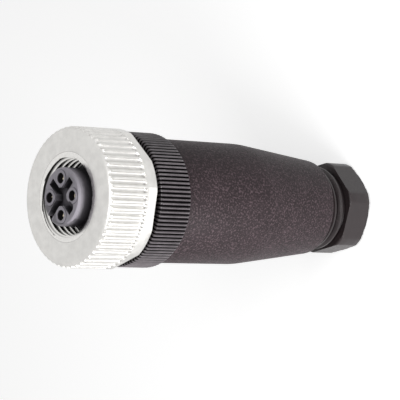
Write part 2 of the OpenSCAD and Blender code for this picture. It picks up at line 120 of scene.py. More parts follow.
class InsertSettings(PropertyGroup):
    """Sizes and colour of the contact insert"""

    barrel_radius: size("Barrel radius", "Radius of the plug barrel, mm", 4.15)
    land_height: size("Land height", "Height of the raised lands, mm", 0.12)
    land_radius: size("Land radius", "Radius of a raised land, mm", 1.15)
    circle_radius: size("Contact circle", "Radius of the circle of contacts, mm", 2.6)
    hole_radius: size("Hole radius", "Radius of a contact hole, mm", 0.75)
    turn: FloatProperty(name="Turn", description="Turn of the contact pattern, degrees", default=3.0)
    recess: size("Recess depth", "Depth of the cross-shaped recess, mm", 1.3)
    arm_width: size("Arm width", "Width of an arm of the recess, mm", 1.15)
    arm_reach: size("Arm reach", "Reach of an arm from the axis, mm", 3.2)
    core_radius: size("Core radius", "Radius of the middle of the recess, mm", 1.35)
    keyway: size("Keyway width", "Width of the coding keyway, mm", 1.1)
    colour: tint("Insert", "Colour of the insert's plastic", (0.170, 0.160, 0.180))


class GripSettings(PropertyGroup):
    """Sizes and colour of the grip ring"""

    radius: size("Outer radius", "Radius over the ribs, mm", node_radius("grip_ring"))
    ribs: IntProperty(name="Ribs", description="Number of ribs round the ring", default=100, min=12)
    groove_radius: size("Groove radius", "Radius of the groove between two ribs, mm", 0.22)
    hub_radius: size("Hub radius", "Radius of the smooth hub in front of the ribs, mm", 7.8)
    hub_length: size("Hub length", "Length of that hub, mm", 0.85)
    bore_radius: size("Bore radius", "Radius of the threaded bore, mm", 8.05)
    stem_radius: size("Stem radius", "Radius of the bore round the insert's stem, mm", 5.5)
    lip: size("Lip", "Thickness of the lip that clamps the insert, mm", 1.95)
    colour: tint("Ring", "Colour of the crests of the ring's ribs", (0.110, 0.096, 0.104))


class HousingSettings(PropertyGroup):
    """Sizes and colour of the housing"""

    front_radius: size("Front radius", "Radius behind the grip ring, mm", node_radius("housing"))
    knee_radius: size("Knee radius", "Radius where the taper starts, mm", 8.91)
    tail_radius: size("Tail radius", "Radius at the tail, mm", 7.1)
    taper: size("Taper length", "Length of the taper, mm", 14.35)
    spigot: size("Spigot length", "Length of the threaded spigot, mm", 3.5)
    spigot_radius: size("Spigot radius", "Radius of the spigot's thread, mm", 8.0)
    bore_radius: size("Bore radius", "Radius of the wiring space, mm", 6.3)
    pocket_radius: size("Pocket radius", "Radius of the pocket of the cable seal, mm", 5.55)
    pocket: size("Pocket depth", "Depth of the gland's pocket, mm", 13.0)
    cable_radius: size("Cable radius", "Radius of the hole for the cable, mm", 3.6)
    colour: tint("Housing", "Colour of the housing's plastic", (0.027, 0.0190, 0.0215))


class GlandSettings(PropertyGroup):
    """Sizes and colours of the gland"""

    flats: size("Across flats", "Distance across the head's flats, mm", 12.8)
    corner_radius: size("Corner radius", "Radius to which the corners are turned, mm", 7.0)
    head: size("Head height", "Height of the head, mm", 4.4)
    turn: FloatProperty(name="Turn", description="Turn of the head, degrees", default=12.8)
    thread_radius: size("Thread radius", "Radius of the thread's crests, mm", 6.25)
    pitch: size("Pitch", "Pitch of the gland thread, mm", 1.27)
    bore_radius: size("Bore radius", "Radius of the bore for the cable, mm", 3.6)
    squeeze: size("Squeeze", "How far the screw presses the cable seal together, mm", 3.2)
    colour: tint("Gland", "Colour of the gland screw's plastic", (0.019, 0.0135, 0.0145))


class StageSettings(PropertyGroup):
    """Camera, lamps and floor"""

    camera_place: FloatVectorProperty(
        name="Camera", description="Place of the camera", default=(0.2790, -0.0075, 0.2649), subtype="TRANSLATION"
    )
    camera_aim: FloatVectorProperty(
        name="Aim", description="Point that the camera looks at", default=(-0.0004, 0.0004, 0.0279),
        subtype="TRANSLATION",
    )
    camera_up: FloatVectorProperty(
        name="Up", description="Direction that is up in the view", default=(0.0, 0.9994, 0.0333), subtype="XYZ"
    )
    lens: FloatProperty(name="Lens", description="Focal length, mm", default=225.0, min=10.0)
    ambient: FloatProperty(name="Ambient", description="Strength of the world's even light", default=0.12, min=0.0)
    floor: tint("Floor", "Colour of the floor", (0.70, 0.70, 0.70))


# Meshes -----------------------------------------------------------------------------------


def turn_angles(count):
    """Angles of the columns of a turned mesh: one full turn, with the first column repeated at its end."""
    return np.linspace(0.0, TURN, count + 1)


def column_mesh(name, angles, radius, level):
    """A closed skin over rows and columns, given in millimetres and welded where columns meet.

    Each column is a closed loop of points round the section, at one angle about the plug axis.
    """
    radius, level = np.broadcast_arrays(radius, level)
    columns, points = radius.shape
    angles = np.asarray(angles)[:, None]
    places = np.stack([radius * np.cos(angles), radius * np.sin(angles), level], axis=-1)
    i = np.arange(columns - 1)[:, None] * points
    j = np.arange(points)[None, :]
    k = (j + 1) % points
    quads = np.stack([i + j, i + points + j, i + points + k, i + k], axis=-1).reshape(-1, 4)
    mesh = bpy.data.meshes.new(name)
    mesh.from_pydata(places.reshape(-1, 3).tolist(), [], quads.tolist())
    weld(mesh)
    return mesh


def weld(mesh, distance=1e-4):
    """Joins points that lie on each other and turns every face outwards."""
    form = bmesh.new()
    form.from_mesh(mesh)
    bmesh.ops.remove_doubles(form, verts=form.verts, dist=distance)
    bmesh.ops.dissolve_degenerate(form, edges=form.edges, dist=distance / 10)
    bmesh.ops.recalc_face_normals(form, faces=form.faces)
    form.to_mesh(mesh)
    form.free()


def turned(name, outline, columns):
    """A turned piece from a closed outline of (radius, level) points, in millimetres."""
    points = np.array(outline, float)
    rows = np.ones((columns + 1, 1))
    return column_mesh(name, turn_angles(columns), rows * points[:, 0], rows * points[:, 1])


def rounded(outline, radius, steps=3):
    """The outline with each corner cut back and rounded, by `radius` or as much as its edges allow."""
    points = [Vector(p) for p in outline]
    out = []
    for i, here in enumerate(points):
        before, after = points[i - 1] - here, points[(i + 1) % len(points)] - here
        reach = min(radius, before.length / 3, after.length / 3)
        start, end = here + before.normalized() * reach, here + after.normalized() * reach
        straight = before.angle(after, math.pi) > math.radians(165)
        if here.x < 1e-6 or straight:
            out.append(here)
            continue
        for k in range(steps + 1):
            t = k / steps
            out.append(start * (1 - t) ** 2 + here * 2 * t * (1 - t) + end * t ** 2)
    return [(p.x, p.y) for p in out]


def helix_levels(angles, low, high, pitch, phases):
    """Levels of thread rows that climb one pitch a turn, stopped at the two ends of the thread."""
    turns = int((high - low) / pitch) + 3
    rows = np.concatenate([np.array(phases) + n for n in range(-1, turns)])
    return np.clip(low + pitch * (rows[None, :] + angles[:, None] / TURN - 1.0), low, high)


def thread_height(levels, angles, low, pitch):
    """Height of the thread form from 0 at its root to 1 at its crest, with softened corners."""
    phase = (levels - low) / pitch - angles[:, None] / TURN
    away = np.abs((phase % 1.0) - 0.5)
    return 1.0 - smooth_ramp((away - 0.11) / 0.31)


def smooth_ramp(x):
    """0 to 1 along a straight flank, with a short curve at each end."""
    x = np.clip(x, 0.0, 1.0)
    return 0.75 * x + 0.25 * x * x * (3.0 - 2.0 * x)


THREAD_PHASES = (0.04, 0.08, 0.16, 0.24, 0.32, 0.39, 0.44, 0.5, 0.56, 0.61, 0.68, 0.76, 0.84, 0.92, 0.96)


def add_object(name, mesh):
    """Puts a mesh in the scene."""
    piece = bpy.data.objects.new(name, mesh)
    bpy.context.scene.collection.objects.link(piece)
    return piece


def finish_piece(name, mesh, body, material, replaced=(), sharp=32.0):
    """Scales a mesh from millimetres, shades and dresses it, and makes it ride on its body."""
    mesh.transform(Matrix.Scale(MM, 4))
    mesh.shade_smooth()
    mesh.set_sharp_from_angle(angle=math.radians(sharp))
    mesh.materials.clear()
    mesh.materials.append(material)
    piece = add_object(name, mesh)
    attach(piece, body)
    if replaced:
        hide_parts(*replaced)
    return piece


def dress_node(node, material):
    """Gives a CAD node its material."""
    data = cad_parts[node].data
    data.materials.clear()
    data.materials.append(material)


def cut_away(piece, cutters, operation="DIFFERENCE"):
    """Applies one boolean after another to a piece, and removes the cutters."""
    for cutter in cutters:
        step = piece.modifiers.new("cut", "BOOLEAN")
        step.operation = operation
        step.solver = "EXACT"
        step.object = cutter
        apply_modifiers(piece)
        bpy.data.objects.remove(cutter)


def apply_modifiers(piece):
    """Makes the piece's mesh what its modifiers show."""
    bpy.context.view_layer.update()
    shown = piece.evaluated_get(bpy.context.evaluated_depsgraph_get())
    mesh = bpy.data.meshes.new_from_object(shown)
    piece.modifiers.clear()
    piece.data = mesh


def prism(name, outline, low, high):
    """An upright prism over a closed outline of (x, y) points, in millimetres."""
    form = bmesh.new()
    corners = [form.verts.new((x, y, low)) for x, y in outline]
    base = form.faces.new(corners)
    walls = bmesh.ops.extrude_face_region(form, geom=[base])
    top = [v for v in walls["geom"] if isinstance(v, bmesh.types.BMVert)]
    bmesh.ops.translate(form, verts=top, vec=(0, 0, high - low))
    bmesh.ops.recalc_face_normals(form, faces=form.faces)
    mesh = bpy.data.meshes.new(name)
    form.to_mesh(mesh)
    form.free()
    return add_object(name, mesh)


def spun(outline, degrees):
    """The outline turned about the plug axis."""
    c, s = math.cos(math.radians(degrees)), math.sin(math.radians(degrees))
    return [(x * c - y * s, x * s + y * c) for x, y in outline]


def circle(radius, centre=(0.0, 0.0), count=48):
    """Points round a circle."""
    return [
        (centre[0] + radius * math.cos(TURN * k / count), centre[1] + radius * math.sin(TURN * k / count))
        for k in range(count)
    ]


def bar(start, end, width):
    """A bar along X, from start to end."""
    return [(start, -width / 2), (end, -width / 2), (end, width / 2), (start, width / 2)]


# Materials --------------------------------------------------------------------------------


class Finish:
    """A material with its nodes, made step by step."""

    def __init__(self, name):
        self.material = bpy.data.materials.new(name)
        self.material.use_nodes = True
        self.tree = self.material.node_tree
        self.shader = self.tree.nodes["Principled BSDF"]
        self.place = self.tree.nodes.new("ShaderNodeTexCoord").outputs["Object"]

    def node(self, kind, **values):
        """A node with its properties and socket defaults set."""
        made = self.tree.nodes.new(kind)
        for key, value in values.items():
            if hasattr(made, key):
                setattr(made, key, value)
            else:
                made.inputs[key.replace("_", " ").title()].default_value = value
        return made

    def link(self, source, target):
        self.tree.links.new(source, target)

    def noise(self, scale, detail=3.0, roughness=0.5):
        """Noise over the piece; scale is in features per metre."""
        made = self.node("ShaderNodeTexNoise", scale=scale, detail=detail, roughness=roughness)
        self.link(self.place, made.inputs["Vector"])
        return made.outputs["Fac"]

    def cells(self, scale, feature="F1"):
        """Cell pattern over the piece; scale is in cells per metre."""
        made = self.node("ShaderNodeTexVoronoi", feature=feature, scale=scale)
        self.link(self.place, made.inputs["Vector"])
        return made.outputs["Distance"]

    def ramp(self, source, low, high, start=0.0, end=1.0):
        """Maps a value from start..end to low..high."""
        made = self.tree.nodes.new("ShaderNodeMapRange")
        made.inputs["From Min"].default_value = start
        made.inputs["From Max"].default_value = end
        made.inputs["To Min"].default_value = low
        made.inputs["To Max"].default_value = high
        self.link(source, made.inputs["Value"])
        return made.outputs["Result"]

    def maths(self, operation, first, second=None):
        """One step of arithmetic on sockets and numbers."""
        made = self.tree.nodes.new("ShaderNodeMath")
        made.operation = operation
        for socket, value in zip(made.inputs, (first, second)):
            if isinstance(value, bpy.types.NodeSocket):
                self.link(value, socket)
            elif value is not None:
                socket.default_value = value
        return made.outputs[0]

    def level(self):
        """Height over the part's base, in millimetres."""
        axes = self.tree.nodes.new("ShaderNodeSeparateXYZ")
        self.link(self.place, axes.inputs[0])
        return self.maths("DIVIDE", axes.outputs["Z"], MM)

    def radius(self):
        """Distance from the plug axis, in millimetres."""
        axes = self.tree.nodes.new("ShaderNodeSeparateXYZ")
        self.link(self.place, axes.inputs[0])
        squares = [self.maths("MULTIPLY", axes.outputs[k], axes.outputs[k]) for k in ("X", "Y")]
        return self.maths("DIVIDE", self.maths("SQRT", self.maths("ADD", *squares)), MM)

    def wave(self, count):
        """A cosine with this many waves round the plug axis."""
        axes = self.tree.nodes.new("ShaderNodeSeparateXYZ")
        self.link(self.place, axes.inputs[0])
        turn = self.maths("ARCTAN2", axes.outputs["Y"], axes.outputs["X"])
        return self.maths("COSINE", self.maths("MULTIPLY", turn, float(count)))

    def shelter(self, reach):
        """Share of open sky within reach, in millimetres."""
        made = self.tree.nodes.new("ShaderNodeAmbientOcclusion")
        made.samples = 8
        made.inputs["Distance"].default_value = reach * MM
        return made.outputs["AO"]

    def blend(self, factor, first, second):
        """Mixes two colours; each is a colour or a socket."""
        made = self.tree.nodes.new("ShaderNodeMix")
        made.data_type = "RGBA"
        self.link(factor, made.inputs["Factor"])
        for index, value in ((6, first), (7, second)):
            if isinstance(value, bpy.types.NodeSocket):
                self.link(value, made.inputs[index])
            else:
                made.inputs[index].default_value = (*value, 1.0)
        return made.outputs[2]

    def shade(self, **values):
        """Sets or links the shader's sockets."""
        for key, value in values.items():
            socket = self.shader.inputs[SOCKETS[key]]
            if isinstance(value, bpy.types.NodeSocket):
                self.link(value, socket)
            else:
                socket.default_value = value

    def bump(self, *heights):
        """Chains bump nodes; each height is (value, depth in metres)."""
        normal = None
        for value, depth in heights:
            made = self.tree.nodes.new("ShaderNodeBump")
            made.inputs["Distance"].default_value = depth
            self.link(value, made.inputs["Height"])
            if normal:
                self.link(normal, made.inputs["Normal"])
            normal = made.outputs["Normal"]
        self.link(normal, self.shader.inputs["Normal"])


SOCKETS = {
    "colour": "Base Color",
    "metallic": "Metallic",
    "roughness": "Roughness",
    "ior": "IOR",
    "specular": "Specular IOR Level",
    "coat": "Coat Weight",
    "coat_roughness": "Coat Roughness",
}


def scaled(colour, factor):
    """The colour made lighter or darker."""
    return tuple(min(1.0, c * factor) for c in colour)


def plated_metal(name, colour, roughness, reach):
    """Satin nickel over a die casting: soft mottling, a fine skin and painted shade that darkens the recesses."""
    made = Finish(name)
    mottle = made.ramp(made.noise(900.0, 4.0), 0.0, 1.0, 0.35, 0.65)
    base = made.blend(mottle, scaled(colour, 0.93), scaled(colour, 1.03))
    # Painted shade: where little open sky lies within reach, the colour is darkened towards 0.3 times the plating.
    recess = made.ramp(made.shelter(reach), 0.0, 1.0, 0.25, 0.8)
    made.shade(
        colour=made.blend(recess, scaled(colour, 0.3), base),
        metallic=1.0,
        roughness=made.ramp(made.noise(2600.0, 5.0), roughness * 0.85, roughness * 1.2, 0.3, 0.7),
    )
    made.bump((made.noise(7000.0, 4.0), 0.004 * MM), (made.noise(1500.0), 0.010 * MM))
    return made.material


def thread_metal(name, nut):
    """Cut and plated thread: crests painted lighter than the plating as painted highlight, over roots painted almost
    black as painted shade.
    """
    made = Finish(name)
    radius = made.radius()
    # Painted highlight and shade: the crests and the bevelled mouth get 1.15 times the plating, the roots 0.03 times.
    crest = made.ramp(radius, 1.0, 0.0, nut.crest_radius + 0.12, nut.thread_radius - 0.22)
    mouth = made.ramp(made.level(), 0.0, 1.0, NUT_Z1 - 0.42, NUT_Z1 - 0.30)
    bright = made.maths("MAXIMUM", crest, mouth)
    streak = made.ramp(made.noise(2600.0, 4.0), 0.9, 1.0, 0.3, 0.7)
    tone = made.maths("MULTIPLY", bright, streak)
    made.shade(
        colour=made.blend(tone, scaled(nut.colour, 0.03), scaled(nut.colour, 1.15)),
        metallic=1.0,
        roughness=made.ramp(tone, 0.45, 0.24),
    )
    made.bump((made.noise(7000.0, 4.0), 0.003 * MM))
    return made.material


def bright_metal(name, colour, roughness):
    """Turned metal of the small inner pieces."""
    made = Finish(name)
    streak = made.ramp(made.noise(3000.0, 3.0), 0.0, 1.0, 0.3, 0.7)
    made.shade(
        colour=made.blend(streak, scaled(colour, 0.85), colour),
        metallic=1.0,
        roughness=made.ramp(streak, roughness * 0.8, roughness * 1.3),
    )
    made.bump((made.noise(6000.0), 0.003 * MM))
    return made.material


def grained_plastic(name, colour):
    """Spark-eroded moulding: a dense fine grain, with small points of light painted into its colour as painted glints.
    """
    made = Finish(name)
    grain = made.cells(3000.0)
    fine = made.noise(3600.0, 4.0, 0.6)
    # Painted glints: where the fine noise peaks, the colour is raised to 3.4 times the housing's colour.
    painted_glints = made.ramp(fine, 0.0, 1.0, 0.50, 0.66)
    cloud = made.ramp(made.noise(260.0, 3.0), 0.0, 1.0, 0.3, 0.7)
    base = made.blend(cloud, scaled(colour, 0.75), scaled(colour, 1.0))
    made.shade(
        colour=made.blend(painted_glints, base, scaled(colour, 3.4)),
        roughness=made.ramp(made.noise(4000.0, 3.0), 0.42, 0.62, 0.3, 0.7),
        specular=0.15,
    )
    made.bump((grain, 0.03 * MM), (fine, 0.03 * MM))
    return made.material


def smooth_plastic(name, colour, roughness, painted_edge_highlight=1.6, reach=0.5, floor=0.25, fade=None):
    """Smooth glass-filled moulding with flow marks, a painted highlight along its edges and painted shade in its
    recesses.

    fade is the level where the painted shade is darkest and the one from which it is plain, in millimetres.
    """
    made = Finish(name)
    flow = made.ramp(made.noise(420.0, 5.0, 0.65), 0.0, 1.0, 0.3, 0.7)
    base = made.blend(flow, scaled(colour, 0.85), scaled(colour, 1.2))
    # Painted highlight: sharp edges, found by pointiness, are mixed towards a lighter copy of the colour.
    form = made.tree.nodes.new("ShaderNodeNewGeometry")
    edge = made.ramp(form.outputs["Pointiness"], 0.0, 1.0, 0.52, 0.62)
    # Painted shade: recesses with little open sky within reach are darkened towards floor times the colour; with fade
    # given, the darkening grows deeper down.
    recess = made.ramp(made.shelter(reach), 0.0, 1.0, 0.5, 0.95)
    if fade:
        recess = made.maths("MULTIPLY", recess, made.ramp(made.level(), 0.1, 1.0, *fade))
    skin = made.blend(edge, base, scaled(colour, painted_edge_highlight))
    made.shade(
        colour=made.blend(recess, scaled(colour, floor), skin),
        roughness=made.ramp(made.noise(3000.0, 4.0), roughness * 0.85, roughness * 1.2, 0.3, 0.7),
        specular=made.ramp(recess, 0.04, 0.45),
    )
    made.bump((made.noise(5200.0, 4.0), 0.006 * MM), (made.noise(900.0), 0.010 * MM))
    return made.material


def ribbed_plastic(name, grip):
    """Ribbed plastic: the rib crests keep the ring's colour, while the grooves between them and the hub are painted
    almost black as painted shade.
    """
    made = Finish(name)
    # Painted shade: off the crests, and inside the hub radius, the colour falls to 0.03 times the ring's colour.
    crest = made.ramp(made.wave(grip.ribs), 0.0, 1.0, -0.35, 0.25)
    outside = made.ramp(made.radius(), 0.0, 1.0, grip.hub_radius + 0.3, grip.hub_radius + 0.9)
    worn = made.ramp(made.noise(700.0, 4.0), 0.7, 1.0, 0.3, 0.7)
    bright = made.maths("MULTIPLY", made.maths("MULTIPLY", crest, outside), worn)
    made.shade(
        colour=made.blend(bright, scaled(grip.colour, 0.03), grip.colour),
        roughness=made.ramp(made.noise(3000.0, 4.0), 0.28, 0.38, 0.3, 0.7),
        specular=made.ramp(bright, 0.0, 0.6),
    )
    made.bump((made.noise(5200.0, 4.0), 0.006 * MM), (made.noise(900.0), 0.010 * MM))
    return made.material


def seal_rubber(name):
    """Black nitrile rubber, slightly dusty."""
    made = Finish(name)
    dust = made.ramp(made.noise(1800.0, 4.0), 0.0, 1.0, 0.5, 0.8)
    made.shade(
        colour=made.blend(dust, (0.016, 0.016, 0.017), (0.05, 0.05, 0.05)),
        roughness=made.ramp(dust, 0.55, 0.8),
    )
    made.bump((made.noise(8000.0), 0.004 * MM))
    return made.material


# Shapes of the pieces -----------------------------------------------------------------------


def flute_stations(nut):
    """Angle of each column over the flutes, its depth across one flute and its offset on the ridge."""
    step = TURN * nut.radius / nut.flutes
    half = nut.flute_radius
    across = [half * math.sin(math.radians(a)) for a in range(-90, 91, 18)]
    gap = step - 2 * half
    ridge = [half + gap * share for share in (0.12, 0.3, 0.5, 0.7, 0.88)]
    offset = np.array(across + ridge)
    drop = np.array([0.035] + [0.0] * 9 + [0.035] + [0.012, 0.0, 0.0, 0.0, 0.012])
    angles = (np.arange(nut.flutes)[:, None] * step + offset[None, :]).reshape(-1) / nut.radius
    offset, drop = np.tile(offset, nut.flutes), np.tile(drop, nut.flutes)
    return np.append(angles, angles[0] + TURN), np.append(offset, offset[0]), np.append(drop, drop[0])


def nut_shell(nut):
    """Outside of the nut: rear band with six flats, flutes with round ends, bevel and front ring."""
    angles, offset, drop = flute_stations(nut)
    end = NUT_Z0 + nut.band + nut.flute_radius
    flat_top = NUT_Z0 + nut.band - 0.15
    rim = 0.14
    face_round = 0.05
    rows = [(NUT_Z0, nut.radius - rim), (NUT_Z0 + 0.4 * rim, nut.radius - 0.35 * rim)]
    rows += [(NUT_Z0 + rim, nut.radius), (NUT_Z0 + 0.9, nut.radius), (flat_top, nut.radius)]
    flat_rows = len(rows)
    rows += [(flat_top + 0.012, nut.radius)]
    rows += [(end - nut.flute_radius * math.cos(math.radians(a)), nut.radius) for a in range(0, 91, 15)]
    rows += [(end + 2.0, nut.radius), (end + 4.0, nut.radius)]
    for k in range(13):
        share = k / 12
        rise = nut.edge * (1 - (1 - share) ** 1.6)
        rows.append((NUT_Z1 - nut.edge + rise, nut.face_radius + (nut.radius - nut.face_radius) * (1 - share ** 1.6)))
    rows += [(NUT_Z1, nut.face_radius - 0.06)]
    inner = nut.mouth_radius
    rows += [(NUT_Z1, nut.face_radius - 1.0), (NUT_Z1, inner + 0.9), (NUT_Z1, inner + face_round)]
    rows += [(NUT_Z1 - 0.3 * face_round, inner + 0.3 * face_round), (NUT_Z1 - face_round, inner)]
    rows += [(NUT_Z0, inner), (NUT_Z0, inner + 1.2), (NUT_Z0, nut.radius - rim - 0.8)]
    level = np.array([r[0] for r in rows])[None, :]
    limit = np.array([r[1] for r in rows])[None, :]
    short = np.maximum(end - level, 0.0)
    groove = np.sqrt(np.maximum(nut.flute_radius ** 2 - offset[:, None] ** 2 - short ** 2, 0.0))
    on_ridge = np.where(level > end - 0.6 * nut.flute_radius, drop[:, None], 0.0)
    radius = np.minimum(limit, nut.radius - np.maximum(groove, on_ridge))
    across = (np.degrees(angles) - nut.flats_turn + 30.0) % 60.0 - 30.0
    flat = (nut.flats / 2) / np.cos(np.radians(across))
    radius[:, :flat_rows] = np.minimum(radius[:, :flat_rows], flat[:, None])
    return column_mesh("nut_shell", angles, radius, level)


def nut_thread(nut):
    """Inside of the nut: bevelled mouth, helical thread, groove of the snap ring and rear lip."""
    angles = turn_angles(240)
    groove_radius = node_radius("snap_ring") + 0.05
    ring_low, ring_high = node_levels("snap_ring")
    low, high = ring_high + 0.15, NUT_Z1 - 0.02
    levels = helix_levels(angles, low, high, nut.pitch, THREAD_PHASES)
    height = thread_height(levels, angles, low, nut.pitch)
    radius = nut.thread_radius - (nut.thread_radius - nut.crest_radius) * height
    mouth = nut.mouth_radius - 0.02 - 4.0 * (high - levels)
    run_out = nut.thread_radius - 6.0 * (levels - low)
    radius = np.maximum(radius, np.maximum(mouth, np.minimum(run_out, nut.thread_radius)))
    wall = nut.mouth_radius
    ends = [(nut.crest_radius, low - 0.02), (nut.crest_radius, ring_high + 0.05), (groove_radius, ring_high + 0.05)]
    lip = nut.lip_radius
    ends += [(groove_radius, ring_low - 0.05), (lip, ring_low - 0.05), (lip, NUT_Z0 + 0.1), (lip + 0.1, NUT_Z0)]
    ends += [(wall, NUT_Z0), (wall, NUT_Z1 - 0.05)]
    fixed = np.array(ends[::-1])
    count = np.ones((len(angles), 1))
    return column_mesh(
        "nut_thread",
        angles,
        np.concatenate([count * fixed[:, 0], radius], axis=1),
        np.concatenate([count * fixed[:, 1], levels], axis=1),
    )


def rib_stations(grip):
    """Angle and depth of each column over the ribs."""
    step = TURN * grip.radius / grip.ribs
    half = grip.groove_radius
    across = [half * math.sin(math.radians(a)) for a in range(-90, 91, 30)]
    gap = step - 2 * half
    ridge = [half + gap * share for share in (0.2, 0.5, 0.8)]
    depth = np.array([math.sqrt(max(half ** 2 - x * x, 0.0)) for x in across] + [0.0] * 3)
    depth[0] = depth[6] = 0.03
    depth[7] = depth[9] = 0.006
    offset = np.array(across + ridge) + step / 2
    angles = (np.arange(grip.ribs)[:, None] * step + offset[None, :]).reshape(-1) / grip.radius
    depth = np.tile(depth, grip.ribs)
    return np.append(angles, angles[0] + TURN), np.append(depth, depth[0])


def grip_body(grip):
    """The ribbed ring with its rounded rear shoulder, front bevel, hub and stepped bore."""
    angles, depth = rib_stations(grip)
    top = GRIP_Z1 - grip.hub_length
    shoulder = 0.6
    bevel = 0.25
    rows = []
    for a in range(-90, 1, 15):
        turn = math.radians(a)
        rows.append((GRIP_Z0 + shoulder * (1 + math.sin(turn)), grip.radius - shoulder * (1 - math.cos(turn))))
    rows += [(GRIP_Z0 + 2.0, grip.radius), (top - 1.4, grip.radius), (top - bevel, grip.radius)]
    rows += [(top - 0.6 * bevel, grip.radius - 0.3 * bevel), (top - 0.25 * bevel, grip.radius - 0.7 * bevel)]
    rows += [(top, grip.radius - 1.3 * bevel), (top, grip.radius - 0.7), (top, grip.hub_radius + 0.12)]
    rows += [(top + 0.03, grip.hub_radius + 0.03), (top + 0.12, grip.hub_radius)]
    rows += [(GRIP_Z1 - 0.12, grip.hub_radius), (GRIP_Z1 - 0.03, grip.hub_radius - 0.03)]
    rows += [(GRIP_Z1, grip.hub_radius - 0.12), (GRIP_Z1, grip.stem_radius)]
    lip = GRIP_Z1 - grip.lip
    rows += [(lip, grip.stem_radius), (lip, grip.bore_radius), (GRIP_Z0 + 0.25, grip.bore_radius)]
    rows += [(GRIP_Z0, grip.bore_radius + 0.25)]
    level = np.array([r[0] for r in rows])[None, :]
    limit = np.array([r[1] for r in rows])[None, :]
    radius = np.minimum(limit, grip.radius - depth[:, None])
    return column_mesh("grip_body", angles, radius, level)


def housing_outline(housing):
    """Outside of the housing from the tail up, with a softened knee."""
    shoulder = HOUSING_Z1 - housing.spigot
    knee = HOUSING_Z0 + housing.taper
    soft = 1.0
    taper = (housing.knee_radius - housing.tail_radius) / housing.taper
    straight = (housing.front_radius - housing.knee_radius) / (shoulder - knee)
    outline = [(housing.tail_radius - 0.36, HOUSING_Z0), (housing.tail_radius - 0.12, HOUSING_Z0 + 0.05)]
    outline += [(housing.tail_radius - 0.02, HOUSING_Z0 + 0.17), (housing.tail_radius + 0.03, HOUSING_Z0 + 0.4)]
    start = (housing.knee_radius - soft * taper, knee - soft)
    end = (housing.knee_radius + soft * straight, knee + soft)
    for k in range(9):
        t = k / 8
        x = start[0] * (1 - t) ** 2 + housing.knee_radius * 2 * t * (1 - t) + end[0] * t * t
        z = start[1] * (1 - t) ** 2 + knee * 2 * t * (1 - t) + end[1] * t * t
        outline.append((x, z))
    outline += [(housing.front_radius, shoulder - 0.12), (housing.front_radius - 0.03, shoulder - 0.03)]
    outline += [(housing.front_radius - 0.12, shoulder), (housing.spigot_radius - 0.5, shoulder)]
    return outline


def housing_shell(housing):
    """The housing as one moulding: outside, threaded spigot, wiring space and gland pocket."""
    angles = turn_angles(256)
    outer = housing_outline(housing)
    low, high = HOUSING_Z1 - housing.spigot + 0.25, HOUSING_Z1
    levels = helix_levels(angles, low, high, 1.0, THREAD_PHASES)
    height = thread_height(levels, angles, low, 1.0)
    root = housing.spigot_radius - 0.55
    lead = housing.spigot_radius - np.maximum(0.0, levels - (high - 0.4)) * 1.1
    radius = np.minimum(root + 0.55 * height, lead)
    seat = HOUSING_Z0 + housing.pocket
    inner = [(housing.bore_radius, high), (housing.bore_radius, seat + 2.6), (housing.cable_radius, seat + 0.6)]
    inner += [(housing.cable_radius, seat), (housing.pocket_radius, seat), (housing.pocket_radius, HOUSING_Z0 + 7.08)]
    inner += [(6.3, HOUSING_Z0 + 7.08), (6.3, HOUSING_Z0 + 0.2), (6.45, HOUSING_Z0)]
    count = np.ones((len(angles), 1))
    outer, inner = np.array(outer), np.array(inner)
    return column_mesh(
        "housing_shell",
        angles,
        np.concatenate([count * outer[:, 0], radius, count * inner[:, 0]], axis=1),
        np.concatenate([count * outer[:, 1], levels, count * inner[:, 1]], axis=1),
    )


def head_radius(gland, angles):
    """Radius of the hexagonal head at each angle, with its corners turned and softened."""
    across = (np.degrees(angles) - gland.turn) % 60.0 - 30.0
    flat = (gland.flats / 2) / np.cos(np.radians(across))
    softness = 0.035
    high = np.maximum(flat, gland.corner_radius)
    return -softness * np.log(np.exp(-(flat - high) / softness) + np.exp(-(gland.corner_radius - high) / softness)) + high


def gland_body(gland):
    """The gland screw: bevelled hexagonal head, neck, helical thread and bore for the cable."""
    angles = turn_angles(360)
    head = head_radius(gland, angles)[:, None]
    rear, front = GLAND_Z0, GLAND_Z0 + gland.head
    count = np.ones((len(angles), 1))
    limit = gland.corner_radius
    rows = [(rear, limit - 0.80), (rear + 0.02, limit - 0.74), (rear + 0.12, limit - 0.56)]
    rows += [(rear + 0.30, limit - 0.27), (rear + 0.45, limit - 0.03), (rear + 0.55, limit)]
    rows += [(rear + 1.6, limit), (rear + 2.9, limit), (front - 0.22, limit), (front - 0.12, limit - 0.04)]
    rows += [(front - 0.04, limit - 0.16), (front, limit - 0.32)]
    outer = np.array(rows)
    outer_radius = np.minimum(head, count * outer[:, 1])
    edge = outer_radius[:, -1:] - 0.10
    root = gland.thread_radius - 0.6
    low, high = front + 0.45, GLAND_Z1
    levels = helix_levels(angles, low, high, gland.pitch, THREAD_PHASES)
    height = thread_height(levels, angles, low, gland.pitch)
    lead = gland.thread_radius - np.maximum(0.0, levels - (high - 0.5)) * 1.1
    radius = np.minimum(root + 0.6 * height, lead)
    radius = np.minimum(radius, root + 3.0 * (levels - low))
    neck = np.array([(root + 0.15, front), (root + 0.03, front + 0.04), (root, front + 0.15)])
    bore = gland.bore_radius
    inner = np.array([
        (bore, high), (bore, rear + 0.95), (bore + 0.06, rear + 0.75), (bore + 0.35, rear + 0.36),
        (bore + 0.72, rear + 0.08), (bore + 0.95, rear),
    ])
    radii = [outer_radius, edge, count * neck[:, 0], radius, count * inner[:, 0]]
    heights = [count * outer[:, 0], count * front, count * neck[:, 1], levels, count * inner[:, 1]]
    return column_mesh("gland_body", angles, np.concatenate(radii, axis=1), np.concatenate(heights, axis=1))


